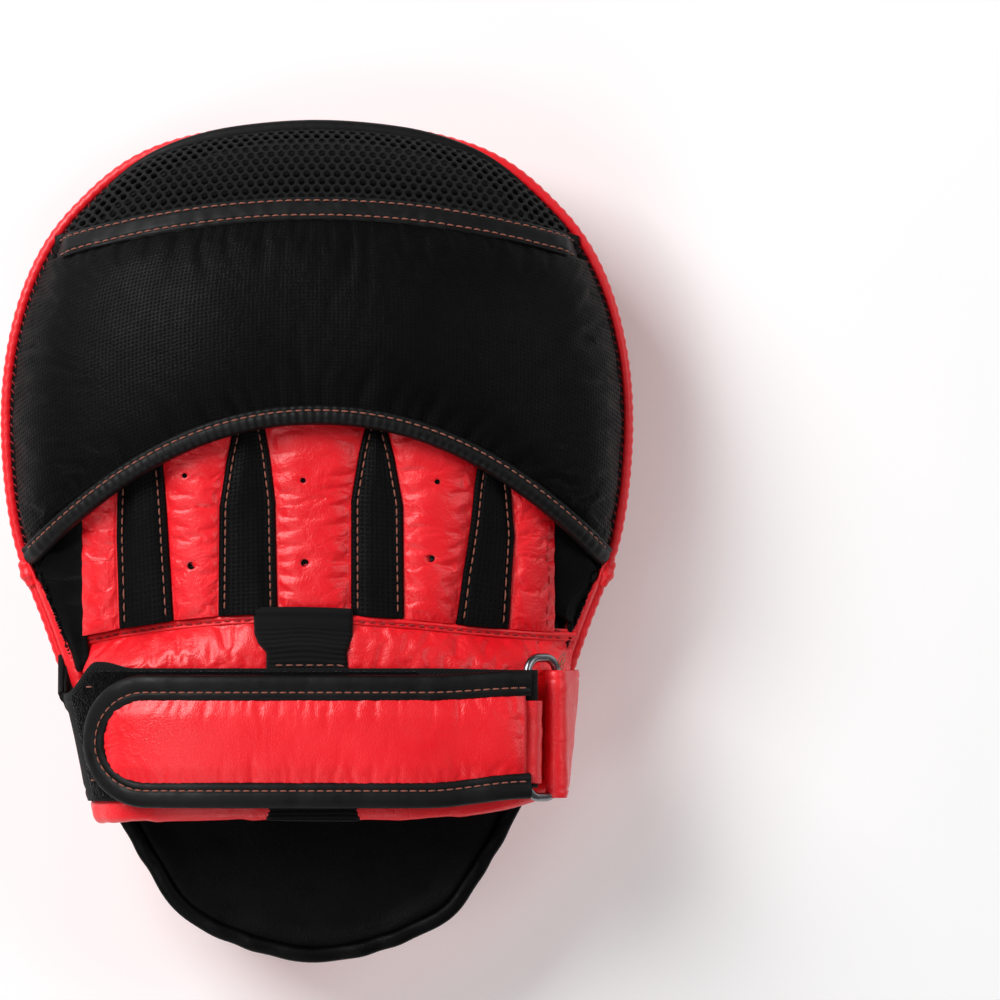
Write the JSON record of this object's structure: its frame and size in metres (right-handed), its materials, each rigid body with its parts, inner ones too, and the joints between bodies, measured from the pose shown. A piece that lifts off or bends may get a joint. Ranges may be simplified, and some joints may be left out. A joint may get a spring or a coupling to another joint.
{
  "type": "focus mitt",
  "caption": "Padded focus mitt worn on the coach's hand: flat striking face, padded hood over the fingers, glove panels and a cuff closed by a hook-and-loop strap through a ring.",
  "frame": {"origin": "centre of the flat striking face, which the mitt lies on", "axes": "+Z out of the hand side, +Y towards the finger end, +X towards the side that carries the strap ring"},
  "size_m": [0.1924, 0.2556, 0.0774],
  "materials": {
    "red_leather": "satin",
    "black_leather": "satin",
    "black_textile": "matte",
    "foam": "matte",
    "gel": "satin",
    "steel": "gloss"
  },
  "bodies": {
    "mitt": {"strike_face_cover": "black_leather", "strike_foam": "foam", "shock_gel_sheet": "gel", "backing_foam": "foam", "side_gusset": "red_leather", "front_piping": "red_leather", "rear_piping": "red_leather", "back_panel": "black_leather", "vent_eyelet_1": "steel", "vent_eyelet_2": "steel", "vent_eyelet_3": "steel", "vent_eyelet_4": "steel", "hood_mesh": "black_textile", "hood_band": "black_textile", "hood_leather": "black_leather", "hood_binding": "black_leather", "hood_padding": "foam", "finger_panel_1": "red_leather", "finger_panel_2": "red_leather", "finger_panel_3": "red_leather", "finger_panel_4": "red_leather", "finger_panel_5": "red_leather", "finger_strip_1": "black_leather", "finger_strip_2": "black_leather", "finger_strip_3": "black_leather", "finger_strip_4": "black_leather", "side_wall_left": "black_leather", "side_wall_right": "black_leather", "glove_lining": "black_textile", "palm_grip_pad": "foam", "cuff_seam_left": "red_leather", "cuff_seam_right": "red_leather", "cuff_panel_left": "red_leather", "cuff_panel_right": "red_leather", "cuff_hem_left": "red_leather", "cuff_hem_right": "red_leather", "elastic_insert": "black_textile", "cuff_lining": "black_textile", "strap_base": "black_textile", "strap_loop_pile": "black_textile", "ring_tab": "red_leather"},
    "ring": {"strap_ring": "steel"},
    "strap_flap": {"flap_core": "black_textile", "flap_face": "red_leather", "flap_binding": "black_leather", "flap_hook_patch": "black_textile"}
  },
  "joints": [
    {"name": "ring_swing", "type": "hinge", "parent": "mitt", "child": "ring", "pos_m": [0.0728, -0.05725, 0.0588], "axis": [0, 1, 0], "range_deg": [0, 35]},
    {"name": "strap_peel", "type": "hinge", "parent": "ring", "child": "strap_flap", "pos_m": [0.0638, -0.05725, 0.0665], "axis": [0, 1, 0], "range_deg": [0, 155]}
  ]
}
